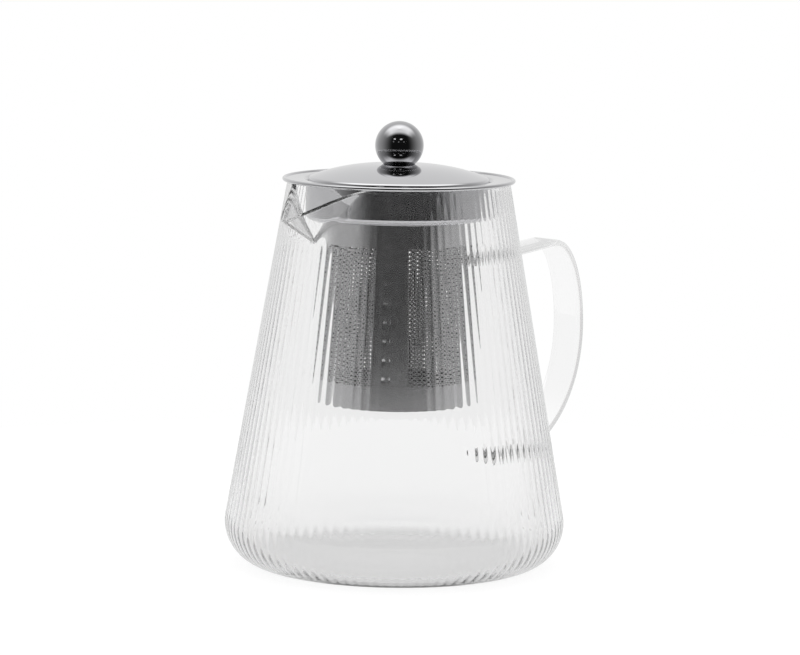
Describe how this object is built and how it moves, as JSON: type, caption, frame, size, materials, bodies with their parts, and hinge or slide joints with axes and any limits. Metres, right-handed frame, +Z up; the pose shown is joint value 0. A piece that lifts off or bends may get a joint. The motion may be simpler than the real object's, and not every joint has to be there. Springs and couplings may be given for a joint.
{
  "type": "glass teapot",
  "caption": "Ribbed glass teapot with strap handle and pulled pouring lip, a lift-out perforated steel infuser and a domed steel lid with a ball knob.",
  "frame": {"origin": "centre of the flat base, on the surface the pot stands on", "axes": "+Z up the pot's axis, +X towards the handle, -X towards the pouring lip"},
  "size_m": [0.1789, 0.141, 0.1843],
  "materials": {
    "borosilicate_glass": "clear, fine upright ribs",
    "polished_steel": "mirror-polished stainless steel",
    "etched_steel": "photo-etched stainless sheet",
    "plain_steel": "turned steel"
  },
  "bodies": {
    "pot": {"glass_body": "borosilicate_glass", "glass_handle": "borosilicate_glass"},
    "infuser": {"infuser_rim": "polished_steel", "basket_wall": "etched_steel", "basket_base": "etched_steel"},
    "lid": {"lid_cover": "polished_steel", "knob_ball": "polished_steel", "knob_insert": "plain_steel", "knob_washer": "plain_steel", "knob_screw": "plain_steel"}
  },
  "joints": [
    {"name": "infuser_lift", "type": "slide", "parent": "pot", "child": "infuser", "axis": [0, 0, 1], "range_m": [0, 0.1]},
    {"name": "lid_lift", "type": "slide", "parent": "infuser", "child": "lid", "axis": [0, 0, 1], "range_m": [0, 0.03]}
  ]
}
